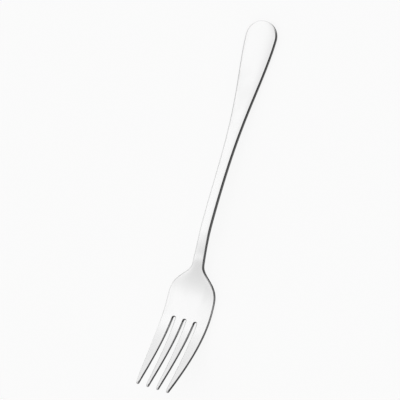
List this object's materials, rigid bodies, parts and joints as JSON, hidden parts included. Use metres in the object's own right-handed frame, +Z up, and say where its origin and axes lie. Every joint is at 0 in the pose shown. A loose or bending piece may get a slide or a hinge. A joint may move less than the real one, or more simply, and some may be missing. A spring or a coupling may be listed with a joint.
{
  "type": "dinner fork",
  "caption": "Plain polished steel table fork with a tapering round-ended handle, narrow arched neck, scooped head and slender upswept tines.",
  "frame": {"origin": "on the table under the middle of the fork's length and width, as it lies with the tines pointing up", "axes": "+Z is up, +Y runs from the round handle end to the tine tips, and the fork is alike on both sides of X = 0"},
  "size_m": [0.027, 0.2002, 0.0216],
  "materials": {
    "stainless": "mirror polished, with fine lengthwise polishing lines"
  },
  "bodies": {
    "root": {"handle": "stainless", "neck": "stainless", "head": "stainless", "tine_1": "stainless", "tine_2": "stainless", "tine_3": "stainless", "tine_4": "stainless"}
  },
  "joints": []
}
